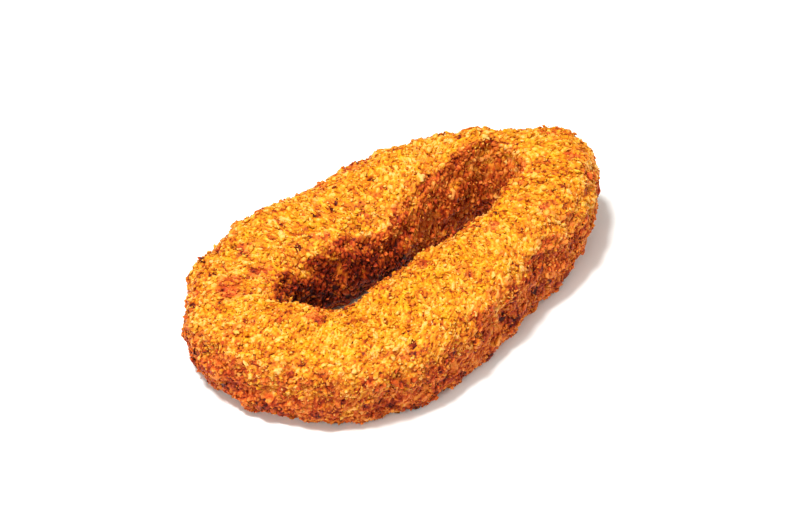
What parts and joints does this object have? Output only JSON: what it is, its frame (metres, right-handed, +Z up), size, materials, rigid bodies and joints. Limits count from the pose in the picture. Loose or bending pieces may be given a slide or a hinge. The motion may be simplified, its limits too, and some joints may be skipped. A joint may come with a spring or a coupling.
{
  "type": "onion ring",
  "caption": "Breaded and fried onion ring, an oval crumb-coated ring that lies flat, fat at one end and thin at the other, round a narrow slit of a hole.",
  "frame": {"origin": "middle of the ring's bounding box, on the surface that the ring lies on", "axes": "+X along the ring's length towards its thin end, +Y across its width, +Z up"},
  "size_m": [0.0668, 0.0402, 0.0147],
  "materials": {
    "crust": null
  },
  "bodies": {
    "root": {"onion_ring": "crust"}
  },
  "joints": []
}
